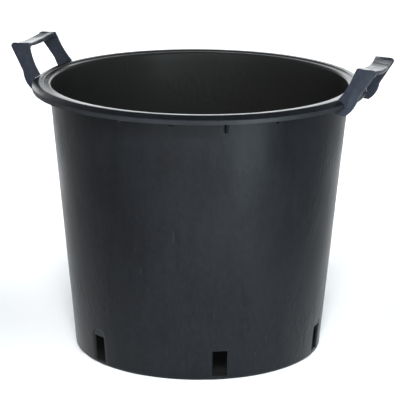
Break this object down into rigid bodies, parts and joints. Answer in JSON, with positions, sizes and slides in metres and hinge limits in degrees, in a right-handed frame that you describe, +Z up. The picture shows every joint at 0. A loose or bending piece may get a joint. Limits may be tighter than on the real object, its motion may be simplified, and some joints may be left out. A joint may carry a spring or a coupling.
{
  "type": "plastic bucket with two clip-on handles",
  "caption": "Large round tapered black plastic bucket with a turned-over rim, drain slots round its foot and a clip-on carrying handle on each side.",
  "frame": {"origin": "centre of the underside, on the ground the bucket stands on", "axes": "+Z up along the bucket's axis, +X towards the right handle; the handles are on +X and -X"},
  "size_m": [0.5754, 0.5008, 0.4573],
  "materials": {
    "tub_plastic": "satin moulded black polypropylene",
    "handle_plastic": "satin moulded blue-black polypropylene"
  },
  "bodies": {
    "tub": {"tub": "tub_plastic"},
    "handle_right": {"handle_right": "handle_plastic"},
    "handle_left": {"handle_left": "handle_plastic"}
  },
  "joints": [
    {"name": "handle_right_pull", "type": "slide", "parent": "tub", "child": "handle_right", "axis": [1, 0, 0], "range_m": [0, 0.06]},
    {"name": "handle_left_pull", "type": "slide", "parent": "tub", "child": "handle_left", "axis": [-1, 0, 0], "range_m": [0, 0.06]}
  ]
}
